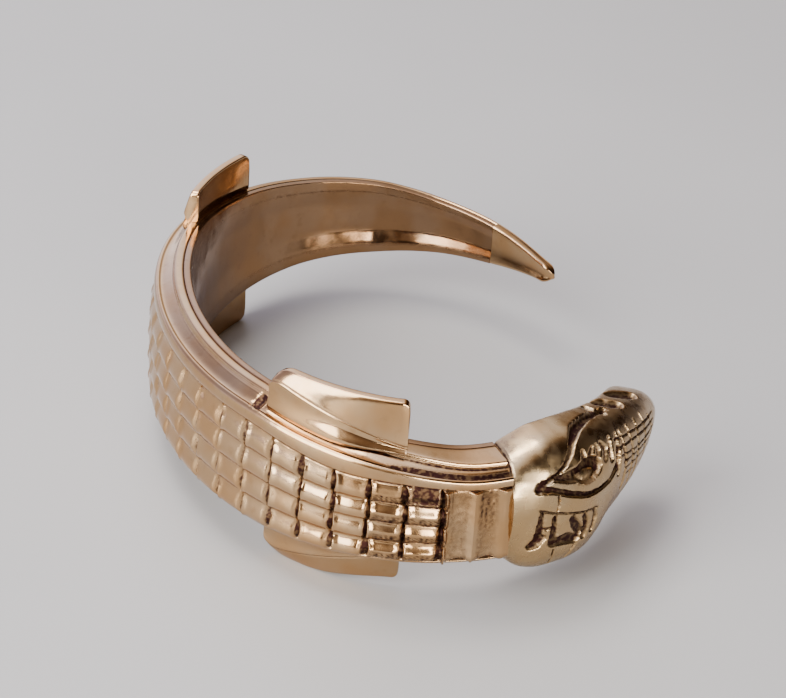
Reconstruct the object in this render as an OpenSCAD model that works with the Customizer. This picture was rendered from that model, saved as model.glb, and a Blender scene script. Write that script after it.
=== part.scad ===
// Alligator cuff bracelet, lying on its side on its two lower feet.
// The animal wraps an oval wrist opening: neck and head at the -Y side, back at -X, tail at +Y.
// Angles run counterclockwise from +X as seen from above. Depth is measured outwards from the
// oval that touches the wrist, and height is measured up and down from the middle plane.

/* [Wrist opening] */
// Length of the oval wrist opening, along Y
opening_length = 60; // [54:0.5:68]
// Width of the oval wrist opening, along X
opening_width = 46.4; // [42:0.2:54]

/* [Body] */
// Full height of the back at its widest
body_height = 15.4; // [13:0.2:18]
// Full height at the neck, where the head is soldered on
neck_height = 11; // [9:0.2:12.6]
// Depth of the back at its crest
crest_depth = 4.8; // [4.4:0.1:6]
// Depth of the neck at its crest
neck_depth = 6.3; // [5.8:0.1:7]
// Thickness of the cast wall of the hollow back
cast_wall = 1.3; // [1:0.1:1.6]
// Thickness of the sheet that lines the inside of the back
liner_sheet = 0.8; // [0.6:0.1:1]

/* [Head and tail] */
// Angle of the solder seam between neck and head
neck_seam = 277; // [274:1:280]
// Angle of the snout's tip
snout_angle = 332; // [328:1:336]
// Full height of the head across the jowls
head_height = 14.2; // [12.6:0.2:16]
// Depth of the head at the skull
head_depth = 6.9; // [6.2:0.1:7.6]
// Angle where the hollow back ends and the solid tail tip starts
tail_seam = 45; // [42:1:50]
// Angle of the tail's tip
tail_angle = 26; // [22:1:30]

/* [Legs] */
// Full height over the upper and lower legs
stance_height = 22.6; // [20:0.2:26]
// Thickness of a leg plate at its free edge
leg_sheet = 1.3; // [1:0.1:1.6]
// Angle where the front legs start, behind the neck
front_leg_start = 224; // [220:1:228]
// Angle where the front legs end, at the neck
front_leg_end = 256; // [250:1:258]
// Angle where the hind legs start, at the tail
hind_leg_start = 124; // [120:1:128]
// Angle where the hind legs end
hind_leg_end = 148; // [144:1:154]

/* [Hidden] */

semi_x = opening_width / 2;
semi_y = opening_length / 2;
mid_z = stance_height / 2;
half_body = body_height / 2;
half_neck = neck_height / 2;
half_head = head_height / 2;
ring_step = 3;      // angle between the cross-sections of a swept piece
leg_inset = 0.9;    // depth at which a leg plate's inner side starts
leg_root = 1.0;     // how far a leg's root reaches above what it is soldered to
corner_angle = 4.5; // angle over which a leg's free corner is rounded
corner_drop = 1.8;  // how far that corner drops

// Half height, crest depth, border depth and rim width of the animal at an angle.
function half_height(t) = lookup(t, [[26, 0.9], [32, 1.5], [45, 2.6], [60, 3.4], [80, 4.7], [105, 5.6],
    [124, 6.5], [148, half_body - 0.2], [160, half_body], [222, half_body], [256, half_neck + 0.6],
    [268, half_neck], [280, half_neck]]);
function crest(t) = lookup(t, [[26, 1.3], [32, 1.9], [45, 2.5], [60, 2.9], [80, 3.4], [105, 4.0],
    [130, crest_depth - 0.3], [160, crest_depth], [222, crest_depth], [256, neck_depth - 0.7],
    [270, neck_depth], [280, neck_depth]]);
function border(t) = crest(t) * lookup(t, [[26, 0.7], [130, 0.78], [222, 0.81], [260, 0.88], [280, 0.86]]);
function rim(t) = lookup(t, [[26, 0.6], [45, 1.15], [80, 1.4], [130, 1.8], [222, 1.8], [256, 2.6],
    [270, 3.6], [280, 3.8]]);

// A point at an angle, a depth and a height: along the oval's outward normal from the oval itself.
function place(t, depth, height) =
    let (nx = cos(t) / semi_x, ny = sin(t) / semi_y, n = norm([nx, ny]))
    [semi_x * cos(t) + depth * nx / n, semi_y * sin(t) + depth * ny / n, mid_z + height];

// A half outline and its mirror image below the middle plane, as one closed outline.
function mirrored(half) = concat(half, [for (i = [len(half) - 1:-1:0]) [half[i][0], -half[i][1]]]);

// Upper half of the back's outside: flat rim, step, channel, border ridge and domed scute field.
function back_half(t, inside) =
    let (h = half_height(t), w = rim(t), e = border(t), c = crest(t), s = h / half_body)
    [[inside, h], [w, h], [w + 0.2 * s, h - 0.6 * s], [(w + e) / 2, h - 1.1 * s], [e - 0.3 * s, h - 0.9 * s],
     [e, h - 1.5 * s], [e + 0.4 * (c - e), h - 2.8 * s], [c - 0.05, 0.3 * h]];

// The same half outline drawn in by the wall's thickness: the hollow between casting and liner.
function hollow_half(t) =
    let (h = half_height(t), c = crest(t), wall = min(cast_wall, 0.42 * (c - liner_sheet)),
         across = (c - wall - liner_sheet) / (c - liner_sheet), up = (h - 1.3 * wall) / h)
    [for (p = back_half(t, liner_sheet)) [liner_sheet + across * (p[0] - liner_sheet), up * p[1]]];

function shell_outline(t) =
    let (wall = mirrored(back_half(t, liner_sheet)), hollow = mirrored(hollow_half(t)))
    concat(wall, [for (i = [len(hollow) - 1:-1:0]) hollow[i]]);
function solid_outline(t) = mirrored(back_half(t, 0));
function liner_outline(t) = mirrored([[0, half_height(t)], [liner_sheet, half_height(t)]]);

// Outline of the head: flat jaw inside, cheek with the mouth line, and domed skull.
function head_half_height(t) = lookup(t, [[277, half_neck + 0.1], [281, half_head - 0.6], [286, half_head],
    [292, half_head], [300, half_head - 0.6], [309, 5.5], [320, 4.2], [327, 3.5], [330, 2.7], [332, 1.5]]);
function head_crest(t) = lookup(t, [[277, neck_depth], [283, head_depth - 0.2], [292, head_depth],
    [300, head_depth - 0.5], [309, 5.9], [320, 5.7], [327, 5.6], [330, 5.0], [332, 4.0]]);
function head_inside(t) = lookup(t, [[277, 0], [320, 0], [327, 0.3], [330, 0.9], [332, 1.8]]);
function mouth_cut(t) = lookup(t, [[287, 0.05], [289, 0.7], [327, 0.6], [330, 0.1]]);
function mouth_depth(t) = lookup(t, [[277, 3.2], [289, 3.2], [296, 2.4], [310, 1.3], [320, 1.1]]);
function head_outline(t) =
    let (h = head_half_height(t), i = head_inside(t), d = head_crest(t) - i, m = i + mouth_depth(t))
    mirrored([[i, 0.7 * h], [i + 0.3, 0.92 * h], [i + 0.8, h], [m - 0.25, h], [m, h - mouth_cut(t)],
              [m + 0.25, h], [i + 0.65 * d, 0.96 * h], [i + 0.82 * d, 0.78 * h],
              [i + 0.95 * d, 0.45 * h], [i + d, 0.15 * h]]);

// Outline of a leg: a foot that wraps over the rim and its step, and a plate up to the free edge.
function leg_outline(t, from_end) =
    let (h = half_height(t), w = rim(t), s = h / half_body, foot = (w + border(t)) / 2,
         out = leg_inset + leg_sheet, top = stance_height / 2 - corner_fall(from_end))
    [[leg_inset, h], [w, h], [w + 0.2 * s, h - 0.6 * s], [foot, h - 1.1 * s],
     [foot + 0.1, h - 1.1 * s + leg_root], [max(out, w) + 0.2, h + leg_root], [out, top], [leg_inset, top]];

// How far the free edge falls at a rounded corner, at an angle from the leg's end.
function corner_fall(from_end) = from_end >= corner_angle ? 0
    : corner_drop * (1 - sqrt(1 - pow(1 - from_end / corner_angle, 2)));

// Side faces between m rings of n points each.
function side_faces(m, n) =
    [for (i = [0:m - 2], j = [0:n - 1]) let (k = (j + 1) % n, a = i * n, b = a + n)
        each [[a + j, a + k, b + k], [a + j, b + k, b + j]]];

// End faces: strips that join the first half of a ring to its second half, point by point.
function end_faces(first, n, turned) =
    [for (j = [0:n / 2 - 2]) let (f = [first + j, first + j + 1, first + n - 2 - j, first + n - 1 - j])
        turned ? [f[3], f[2], f[1], f[0]] : f];

function ring(outline, t) = [for (p = outline) place(t, p[0], p[1])];

// Angles of the rings from one angle to another, both ends included.
function angles(from, to) =
    let (n = max(2, round((to - from) / ring_step))) [for (i = [0:n]) from + (to - from) * i / n];

module sweep(rings) {
    m = len(rings);
    n = len(rings[0]);
    polyhedron([for (r = rings) each r],
               concat(side_faces(m, n), end_faces(0, n, true), end_faces((m - 1) * n, n, false)), convexity = 6);
}

module leg(from, to) {
    corner = [0, 0.6, 1.5, 2.8, corner_angle];
    middle = angles(from + corner_angle + ring_step, to - corner_angle - ring_step);
    turns = concat([for (d = corner) from + d], middle, [for (i = [4:-1:0]) to - corner[i]]);
    sweep([for (t = turns) ring(leg_outline(t, min(t - from, to - t)), t)]);
}

module lower_side() {
    translate([0, 0, stance_height]) mirror([0, 0, 1]) children();
}

module body_shell() {
    color("peru") sweep([for (t = angles(tail_seam, neck_seam)) ring(shell_outline(t), t)]);
}

module inner_liner() {
    color("burlywood") sweep([for (t = angles(tail_seam, neck_seam)) ring(liner_outline(t), t)]);
}

module head() {
    color("darkgoldenrod") sweep([for (t = angles(neck_seam, snout_angle)) ring(head_outline(t), t)]);
}

module tail_tip() {
    color("sienna") sweep([for (t = angles(tail_angle, tail_seam)) ring(solid_outline(t), t)]);
}

module front_leg_upper() {
    color("goldenrod") leg(front_leg_start, front_leg_end);
}

module front_leg_lower() {
    color("goldenrod") lower_side() leg(front_leg_start, front_leg_end);
}

module hind_leg_upper() {
    color("tan") leg(hind_leg_start, hind_leg_end);
}

module hind_leg_lower() {
    color("tan") lower_side() leg(hind_leg_start, hind_leg_end);
}

body_shell();
inner_liner();
head();
tail_tip();
front_leg_upper();
front_leg_lower();
hind_leg_upper();
hind_leg_lower();
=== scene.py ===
import math

import bpy
import numpy as np
from mathutils import Matrix, Vector


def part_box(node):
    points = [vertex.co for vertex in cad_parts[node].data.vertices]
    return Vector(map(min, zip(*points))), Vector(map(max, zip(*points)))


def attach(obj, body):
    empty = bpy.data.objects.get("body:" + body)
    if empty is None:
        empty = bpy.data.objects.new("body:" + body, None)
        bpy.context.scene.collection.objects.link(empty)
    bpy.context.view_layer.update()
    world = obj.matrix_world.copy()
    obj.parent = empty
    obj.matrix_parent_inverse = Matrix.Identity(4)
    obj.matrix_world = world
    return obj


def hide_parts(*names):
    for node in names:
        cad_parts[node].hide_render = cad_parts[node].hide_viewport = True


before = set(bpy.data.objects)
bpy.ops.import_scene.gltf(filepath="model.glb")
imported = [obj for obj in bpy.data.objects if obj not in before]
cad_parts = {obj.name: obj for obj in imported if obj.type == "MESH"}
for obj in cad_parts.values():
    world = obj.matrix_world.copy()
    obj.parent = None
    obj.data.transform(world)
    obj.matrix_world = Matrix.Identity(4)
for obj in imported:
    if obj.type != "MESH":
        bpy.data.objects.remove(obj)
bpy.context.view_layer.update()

bl_info = {
    "name": "Alligator cuff bracelet",
    "version": (1, 0, 0),
    "blender": (4, 5, 0),
    "location": "3D View > Sidebar > Cuff",
    "description": "Builds an alligator cuff: scaled back, lining, head, tail tip and four leg plates",
    "category": "Add Mesh",
}

# The animal is laid out in millimetres. Angles run counterclockwise from +X as seen from above,
# depth is measured outwards from the oval that touches the wrist, height from the middle plane.
MM = 0.001
BODY = "root"

lining_low, lining_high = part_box("inner_liner")
shell_low, shell_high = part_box("body_shell")
stance_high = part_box("front_leg_upper")[1]
stance_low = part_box("front_leg_lower")[0]
LINING = 0.8 * MM  # thickness of the sheet that lines the back
MID_Z = (stance_high.z + stance_low.z) / 2


class CuffShape(bpy.types.PropertyGroup):
    """Sizes of the cuff that a maker would change."""

    opening_length: bpy.props.FloatProperty(
        name="Opening length", description="Length of the oval wrist opening, along Y",
        default=2 * (lining_high.y - LINING), min=0.05, max=0.07, unit="LENGTH", precision=4)
    opening_width: bpy.props.FloatProperty(
        name="Opening width", description="Width of the oval wrist opening, along X",
        default=-2 * (lining_low.x + LINING), min=0.04, max=0.056, unit="LENGTH", precision=4)
    body_height: bpy.props.FloatProperty(
        name="Back height", description="Height of the back at its widest",
        default=shell_high.z - shell_low.z, min=0.012, max=0.018, unit="LENGTH", precision=4)
    stance_height: bpy.props.FloatProperty(
        name="Stance height", description="Height over the upper and lower legs",
        default=stance_high.z - stance_low.z, min=0.018, max=0.026, unit="LENGTH", precision=4)
    crest_depth: bpy.props.FloatProperty(
        name="Back depth", description="Depth of the back at its crest",
        default=0.0048, min=0.004, max=0.006, unit="LENGTH", precision=4)
    neck_depth: bpy.props.FloatProperty(
        name="Neck depth", description="Depth of the neck at its crest",
        default=0.0063, min=0.0055, max=0.007, unit="LENGTH", precision=4)
    head_height: bpy.props.FloatProperty(
        name="Head height", description="Width of the head across the jowls",
        default=0.0142, min=0.012, max=0.016, unit="LENGTH", precision=4)
    leg_sheet: bpy.props.FloatProperty(
        name="Leg plate", description="Thickness of a leg plate at its free edge",
        default=0.0013, min=0.0009, max=0.0018, unit="LENGTH", precision=4)
    scute_relief: bpy.props.FloatProperty(
        name="Scute relief", description="How strongly the scales stand out",
        default=1.0, min=0.0, max=1.5, subtype="FACTOR")
    engraving: bpy.props.FloatProperty(
        name="Head engraving", description="How deeply the head is carved",
        default=1.0, min=0.0, max=1.5, subtype="FACTOR")


class CuffFinish(bpy.types.PropertyGroup):
    """Colours and polish of the cuff and of the floor."""

    bronze: bpy.props.FloatVectorProperty(
        name="Polished bronze", description="Colour of the polished casting",
        default=(0.46, 0.29, 0.145), min=0.0, max=1.0, subtype="COLOR")
    satin: bpy.props.FloatVectorProperty(
        name="Satin bronze", description="Colour of the brushed head",
        default=(0.44, 0.31, 0.165), min=0.0, max=1.0, subtype="COLOR")
    # The lining's colour is the bronze darkened to brown: painted shade for the shadowed inside of the
    # cuff.
    lining: bpy.props.FloatVectorProperty(
        name="Lining", description="Colour of the sheet that lines the back",
        default=(0.27, 0.160, 0.085), min=0.0, max=1.0, subtype="COLOR")
    # Colour of the dark stain: real patina in the recesses, and painted shade in creases, valleys and the
    # eye socket.
    patina_and_shade: bpy.props.FloatVectorProperty(
        name="Patina", description="Colour of the darkened recesses",
        default=(0.030, 0.011, 0.009), min=0.0, max=1.0, subtype="COLOR")
    polish: bpy.props.FloatProperty(
        name="Roughness", description="Roughness of the polished casting",
        default=0.13, min=0.02, max=0.6, subtype="FACTOR")
    floor: bpy.props.FloatVectorProperty(
        name="Floor", description="Colour of the floor",
        default=(0.385, 0.370, 0.343), min=0.0, max=1.0, subtype="COLOR")


# Angles of the animal, in degrees
NECK_SEAM = 277.0
SNOUT = 332.0
TAIL_SEAM = 45.0
TAIL_TIP = 24.6
FRONT_LEG = (224.0, 256.0)
HIND_LEG = (122.2, 148.0)
LAST_CUT = 263.9  # the cut between the last scales and the neck
CUT_PITCH = 7.18  # from one cut to the next
RIB_START = 264.1  # where the neck's first valley starts
RIB_PITCH = 5.6  # from one rib of the neck to the next

LANES = 4  # scales side by side across the back
RIB_FALL, RIB_CLIMB = 0.68, 0.32  # parts of a rib's pitch in which it sinks and climbs again
CAST_WALL = 1.3  # thickness of the hollow back's wall
LEG_INSET = 0.9  # depth at which a leg plate's inner side stands
CRISP = 55  # an edge that turns by more degrees than this stays sharp


def lookup(angle, knots):
    """Value at each angle on the straight lines between (angle, value) pairs."""
    at, value = np.transpose(knots)
    return np.interp(angle, at, value)


def eased(angle, knots, spread=3.0):
    """The same lines with rounded corners: their mean over a window of spread degrees each way."""
    window = spread * np.linspace(-1, 1, 9)
    return np.mean([lookup(angle + step, knots) for step in window], axis=0)


def smoothstep(value, low, high):
    """0 below low, 1 above high, and a smooth S between them."""
    t = np.clip((value - low) / (high - low), 0, 1)
    return t * t * (3 - 2 * t)


def bell(value, width):
    """A bell curve: 1 at zero and nearly nothing past twice the width."""
    return np.exp(-((value / width) ** 2))


def half_height(size, t):
    """Half the animal's height at an angle."""
    half = size.body_height / MM / 2
    return eased(t, [(24, 1.1), (28, 1.15), (32, 1.5), (45, 2.6), (60, 3.4), (80, 4.7), (105, 5.6),
                     (124, 6.5), (148, half - 0.2), (160, half), (222, half), (256, 6.1), (268, 5.5),
                     (280, 5.5)])


def relief_scale(size, t):
    """How large the steps and ridges are at an angle: 1 where the back is at its widest."""
    return half_height(size, t) / (size.body_height / MM / 2)


def crest(size, t):
    """Depth of the animal's crest at an angle."""
    deep = size.crest_depth / MM
    neck = size.neck_depth / MM
    return eased(t, [(24, 1.9), (28, 1.85), (32, 1.95), (45, 2.5), (60, 2.9), (80, 3.4), (105, 4.0),
                     (130, deep - 0.3), (160, deep), (222, deep), (256, neck - 0.7), (270, neck),
                     (280, neck)])


def border(size, t):
    """Depth of the smooth ridge that borders the scales, as a part of the crest's depth."""
    share = eased(t, [(26, 0.7), (130, 0.78), (222, 0.81), (260, 0.88), (280, 0.86)])
    return crest(size, t) * share


def rim(t):
    """Width of the flat rim."""
    return eased(t, [(26, 0.6), (45, 1.15), (80, 1.4), (130, 1.8), (222, 1.8), (256, 2.6), (270, 3.6),
                     (280, 3.8)])


def oval_place(size, t, depth, height):
    """Point at an angle, a depth and a height: the oval's own point, moved outwards along the oval's
    normal by the depth, and up from the middle plane by the height. In millimetres."""
    semi_x = size.opening_width / MM / 2
    semi_y = size.opening_length / MM / 2
    turn = np.radians(t)
    nx = np.cos(turn) / semi_x
    ny = np.sin(turn) / semi_y
    long = np.hypot(nx, ny)
    x = semi_x * np.cos(turn) + depth * nx / long
    y = semi_y * np.sin(turn) + depth * ny / long
    return np.stack([x, y, MID_Z / MM + height + 0 * x], axis=-1)


def spline(controls, u):
    """Points of a cubic B-spline for every row at once: each is a weighted mean of four neighbouring
    controls, with weights (1-f)^3, 3f^3-6f^2+4, -3f^3+3f^2+3f+1 and f^3, over six."""
    first = np.minimum(u.astype(int), controls.shape[1] - 4)
    f = u - first
    weights = np.stack([(1 - f) ** 3, 3 * f**3 - 6 * f**2 + 4,
                        -3 * f**3 + 3 * f**2 + 3 * f + 1, f**3]) / 6
    return sum(weights[k][None, :, None] * controls[:, first + k] for k in range(4))


def section(rows, *points):
    """Controls of a section for every row, from (depth, height) pairs that may be numbers or arrays."""
    return np.stack([np.stack([np.broadcast_to(d, rows), np.broadcast_to(h, rows)], axis=-1)
                     for d, h in points], axis=1)


def mirrored(half):
    """A half section followed by its mirror image below the middle plane."""
    return np.concatenate([half, half[:, ::-1] * np.array([1, -1])], axis=1)


def held_ends(controls):
    """The controls with each end repeated, so that the spline starts and stops on them."""
    return np.concatenate([controls[:, :1]] * 2 + [controls] + [controls[:, -1:]] * 2, axis=1)


def looped(controls):
    """The controls with the first three repeated, so that the spline closes on itself."""
    return np.concatenate([controls, controls[:, :3]], axis=1)


def places(samples):
    """Places along a spline: each span holds the given number of evenly spaced samples."""
    return np.concatenate([span + np.arange(n) / n for span, n in enumerate(samples)])


def outward(profile, closed):
    """Unit normals of the sections: the tangent along each section turned a quarter turn left."""
    if closed:
        tangent = np.roll(profile, -1, axis=1) - np.roll(profile, 1, axis=1)
    else:
        tangent = np.gradient(profile, axis=1)
    normal = np.stack([-tangent[..., 1], tangent[..., 0]], axis=-1)
    return normal / np.maximum(np.linalg.norm(normal, axis=-1, keepdims=True), 1e-9)


def arc_length(profile):
    """Distance along each section from its first point."""
    step = np.linalg.norm(np.diff(profile, axis=1), axis=-1)
    return np.concatenate([np.zeros((len(profile), 1)), np.cumsum(step, axis=1)], axis=1)


def crowded(start, stop, count, centres, width, weight):
    """Rising angles from start to stop, closer together near the centres: the running total of
    1 + weight * bell(distance from a centre), evened out."""
    fine = np.linspace(start, stop, 4000)
    near = np.min(np.abs(fine[:, None] - np.asarray(centres)[None, :]), axis=1)
    total = np.cumsum(1 + weight * bell(near, width))
    total = (total - total[0]) / (total[-1] - total[0])
    return np.interp(np.linspace(0, 1, count), total, fine)


def unevenness(x, y, seed):
    """A gentle hand-made waviness from -1 to 1: six sine waves with odd directions and phases."""
    pick = np.random.default_rng(seed)
    total = 0
    for _ in range(6):
        fx, fy = pick.normal(size=2)
        total = total + np.sin(fx * x + fy * y + pick.uniform(0, 2 * np.pi))
    return total / 6


def distance_to_line(points, line):
    """Distance of every point from a broken line: the least of its distances from the segments, and
    how far along the line, from 0 to 1, the nearest place is."""
    near = np.full(points.shape[:-1], 1e9)
    along = np.zeros(points.shape[:-1])
    for k, (a, b) in enumerate(zip(line[:-1], line[1:])):
        ab = b - a
        t = np.clip((points - a) @ ab / max(ab @ ab, 1e-9), 0, 1)
        gap = np.linalg.norm(points - a - t[..., None] * ab, axis=-1)
        closer = gap < near
        near = np.where(closer, gap, near)
        along = np.where(closer, (k + t) / (len(line) - 1), along)
    return near, along


def enclosed_volume(points, quads, caps):
    """Volume inside a closed surface: a sum of tetrahedra from the origin to every triangle."""
    triangles = [quads[:, [0, 1, 2]], quads[:, [0, 2, 3]]]
    for cap in caps:
        cap = np.asarray(cap)
        triangles.append(np.stack([np.full(len(cap) - 2, cap[0]), cap[1:-1], cap[2:]], axis=1))
    a, b, c = (points[np.concatenate(triangles)[:, k]] for k in range(3))
    return float(np.einsum("ij,ij->i", a, np.cross(b, c)).sum() / 6)


def ring_mesh(name, grid, patina_and_shade, material):
    """A closed mesh from a grid of rings: quads between neighbouring rings, one face over each end
    ring, turned outwards if the volume inside comes out negative. The grid is in millimetres."""
    rows, columns = grid.shape[:2]
    points = grid.reshape(-1, 3) * MM
    i, j = np.meshgrid(np.arange(rows - 1), np.arange(columns), indexing="ij")
    k = (j + 1) % columns
    here, onward = i * columns, (i + 1) * columns
    quads = np.stack([here + j, here + k, onward + k, onward + j], axis=-1).reshape(-1, 4)
    first = list(range(columns))[::-1]
    last = list(range((rows - 1) * columns, rows * columns))
    if enclosed_volume(points, quads, (first, last)) < 0:
        quads = quads[:, ::-1]
        first, last = first[::-1], last[::-1]
    mesh = bpy.data.meshes.new(name)
    mesh.from_pydata(points.tolist(), [], quads.tolist() + [first, last])
    # darkness per point: real patina in the recesses and painted shade in creases and valleys
    mesh.attributes.new("patina_and_shade", "FLOAT", "POINT").data.foreach_set(
        "value", np.clip(patina_and_shade, 0, 1).astype(np.float32).ravel())
    mesh.polygons.foreach_set("use_smooth", np.ones(len(mesh.polygons), dtype=bool))
    mesh.set_sharp_from_angle(angle=math.radians(CRISP))
    mesh.materials.append(material)
    mesh.update()
    piece = bpy.data.objects.new(name, mesh)
    bpy.context.scene.collection.objects.link(piece)
    return piece


def make_piece(context, name, rings, finish, node):
    """Makes a piece from its rings in a finish, to ride on the cuff's one body in place of a CAD node."""
    grid, patina_and_shade = rings
    piece = ring_mesh(name, grid, patina_and_shade, finish_of(context, finish))
    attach(piece, BODY)
    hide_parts(node)


# ---------------------------------------------------------------- the back


def back_controls(size, t, inside):
    """Controls of the back's outside, from the upper seam with the lining round to the lower one:
    flat rim, step, channel, border ridge, groove and the domed field of scales. The upper edge of
    the field sags a little towards the neck. On the lower side the field reaches further out, and the
    ridge, the channel and the step beyond it are smaller."""
    h = half_height(size, t)
    w = rim(t)
    e = border(size, t)
    c = crest(size, t)
    s = relief_scale(size, t)
    sag = 0.55 * bell(t - 243, 13)
    return section(
        len(t),
        (inside, h - 0.25), (inside + 0.02, h - 0.03), (inside + 0.2, h), ((inside + w) / 2, h),
        (w - 0.12, h), (w, h - 0.05), (w + 0.06 * s, h - 0.3 * s), (w + 0.18 * s, h - 0.52 * s),
        (w + 0.3 * s, h - 0.66 * s), ((w + e) / 2, h - 1.15 * s), (e - 0.5 * s, h - 1.3 * s),
        (e - 0.22 * s, h - 1.1 * s), (e + 0.12 * s, h - 1.3 * s), (e + 0.28 * s, h - 1.9 * s - 0.5 * sag),
        (e + 0.27 * s, h - 2.55 * s - sag), (e + 0.02 * s, h - 2.9 * s - sag), (e, h - 3.05 * s - sag),
        (e + 0.04 * (c - e), h - 3.6 * s - sag), (c - 0.82, 0.4 * h - 0.7 * sag),
        (c - 0.68, 0.16 * h - 0.4 * sag), (c - 0.61, -0.1 * h), (c - 0.62, -0.36 * h),
        (c - 0.66, -0.6 * h), (e + 0.35 * (c - e), -h + 1.75 * s),
        (e + 0.1 * s, -h + 1.1 * s), (e - 0.2 * s, -h + 1.05 * s), (e - 0.12 * s, -h + 0.85 * s),
        (e - 0.15 * s, -h + 0.6 * s), (e - 0.4 * s, -h + 0.35 * s), (e - 0.7 * s, -h + 0.3 * s),
        (e - 0.9 * s, -h + 0.42 * s), ((w + e) / 2, -h + 0.45 * s), (w + 0.3 * s, -h + 0.4 * s),
        (w + 0.18 * s, -h + 0.34 * s), (w + 0.06 * s, -h + 0.2 * s), (w, -h + 0.05), (w - 0.12, -h),
        ((inside + w) / 2, -h), (inside + 0.2, -h), (inside + 0.02, -h + 0.03), (inside, -h + 0.25))


FIELD_START, FIELD_END = 16.5, 25.6  # places along the spline between the two border grooves


def in_lane(lane):
    """Which lane a place is in, and how far across that lane it lies, from 0 to 1."""
    row = np.floor(np.clip(lane, 0, LANES - 1e-6))
    return row, lane - row


def scute_field(t, lane, step):
    """Height of the scales above the field, in millimetres, how deep a place lies in a pocket, and
    how near it is to the side of its lane, both from 0 to 1.

    lane runs from 0 to 4 down the field and step is the length of a degree. Along the animal the
    field is cut every pitch. Across its lane each scale is the pillow 1 - (2 x^1.6 - 1)^2, fullest a
    little below the middle, and a raised lip ends it towards the tail. Beyond the cut behind that lip
    lies a pocket shaped like a crescent, widest in the middle of the lane."""
    row, x = in_lane(lane)
    across = np.abs(2 * x - 1)
    wobble = 0.22 * np.sin(0.83 * t + 2.1 * row) + 0.12 * np.sin(2.3 * t + 1.3 * row)
    wobble = wobble + 0.35 * (1 - across**2)
    passed = (LAST_CUT - t + wobble) / CUT_PITCH
    fraction = passed - np.floor(passed)
    ahead = fraction * CUT_PITCH * step
    behind = (1 - fraction) * CUT_PITCH * step
    width = 0.26 + 0.56 * (1 - across**2)
    hollow = np.clip(1 - ahead / width, 0, 1)
    pocket = -0.55 * hollow**0.7
    lip = 0.15 * bell(behind - 0.2, 0.24) - 0.18 * bell(behind, 0.09)
    pillow = 0.40 * (1 - (2 * np.clip(x, 0, 1) ** 1.6 - 1) ** 2)
    swell = 0.05 * np.sin(np.pi * fraction)
    return pocket + lip + pillow + swell, hollow, across


def engrave_lanes(relief, dark, angle, lane, scaled):
    """Cuts an engraved band and a dark line low in each lane of the rows next to the neck, and a
    deep dark pocket in the last scale of the first lane."""
    x = in_lane(lane)[1]
    near_neck = smoothstep(angle, 248.5, 251) * scaled
    band = smoothstep(x, 0.5, 0.6) * (1 - smoothstep(x, 0.93, 0.98))
    scratch = unevenness(angle * 9, lane * 26, 4)
    relief = relief - near_neck * band * (0.13 + 0.05 * scratch)
    dark = np.maximum(dark, near_neck * band * (0.45 + 0.5 * scratch))
    line = bell(x - 0.97, 0.05) * smoothstep(angle, 245, 252) * scaled
    relief = relief - 0.12 * line
    dark = np.maximum(dark, 0.95 * line)
    pocket = smoothstep(angle, 257.0, 258.6) * (1 - smoothstep(angle, 262.6, 263.3))
    pocket = pocket * smoothstep(lane, -0.1, 0.05) * (1 - smoothstep(lane, 0.75, 0.9))
    return relief - 0.3 * pocket, np.maximum(dark, pocket)


def rib_neck(relief, dark, angle, lane, inside):
    """Raises the neck beyond the last cut and files valleys across it, one for each rib's pitch. A
    valley sinks slowly along a quarter sine and climbs steeply along a quarter cosine to the next rib.
    Each valley is painted brown as shade, darker in streaks of real patina."""
    ribs = inside * smoothstep(angle, LAST_CUT, LAST_CUT + 0.5)
    phase = np.clip((angle - RIB_START) / RIB_PITCH, 0, 3)
    turn = phase - np.floor(phase)
    fall = np.sin(np.pi / 2 * np.clip(turn / RIB_FALL, 0, 1))
    climb = np.cos(np.pi / 2 * np.clip((turn - RIB_FALL) / RIB_CLIMB, 0, 1))
    late = 1 - 0.6 * smoothstep(angle, 275.2, 275.8)
    relief = relief + ribs * (0.42 - 0.62 * fall * climb * late)
    valley = unevenness(angle * 3.0, lane * 5.0, 9)
    relief = relief + ribs * 0.05 * valley * fall
    streaks = unevenness(angle * 7.0, lane * 1.3, 12)
    # painted shade: brown through each valley from just past its crest, darker in streaks of real patina
    brown = smoothstep(turn, 0.02, 0.2) * climb * (0.34 + 0.06 * valley + 0.4 * np.maximum(streaks, 0))
    return relief, np.maximum(dark, ribs * brown * late)


def pit_solder(relief, dark, angle, u):
    """Rough dark solder where the rear end of the front leg meets the step and the channel."""
    solder = bell(angle - 222.0, 1.1) * bell(u - 9.6, 2.0)[None, :]
    pits = solder * smoothstep(unevenness(angle * 4, u * 3, 6), -0.3, 0.1)
    return relief - 0.24 * pits, np.maximum(dark, smoothstep(solder, 0.12, 0.45))


def cut_channels(relief, dark, angle, u):
    """Cuts the same lines along both sides: a groove between border ridge and scales, the bottom of
    the channel and a slot beside it, all deeper towards the neck, and a fine line below the step."""
    near_neck = smoothstep(angle, 243, 252)
    at_neck = smoothstep(angle, 246, 262)
    for place in (u, u[-1] - u):
        groove = bell(place - 16.0, 0.55)[None, :]
        relief = relief - groove * (0.05 + 0.2 * near_neck)
        dark = np.maximum(dark, groove * near_neck * 0.95)
        trench = bell(place - 10.6, 0.75)[None, :]
        relief = relief - trench * 0.42 * at_neck
        dark = np.maximum(dark, smoothstep(trench * at_neck, 0.12, 0.55))
        slot = bell(place - 8.9, 0.4)[None, :]
        relief = relief - slot * 0.16 * at_neck
        dark = np.maximum(dark, slot * at_neck * 0.9)
        line = bell(place - 8.6, 0.35)[None, :]
        relief = relief - 0.05 * line
        dark = np.maximum(dark, 0.28 * line)
    return relief, dark


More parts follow.
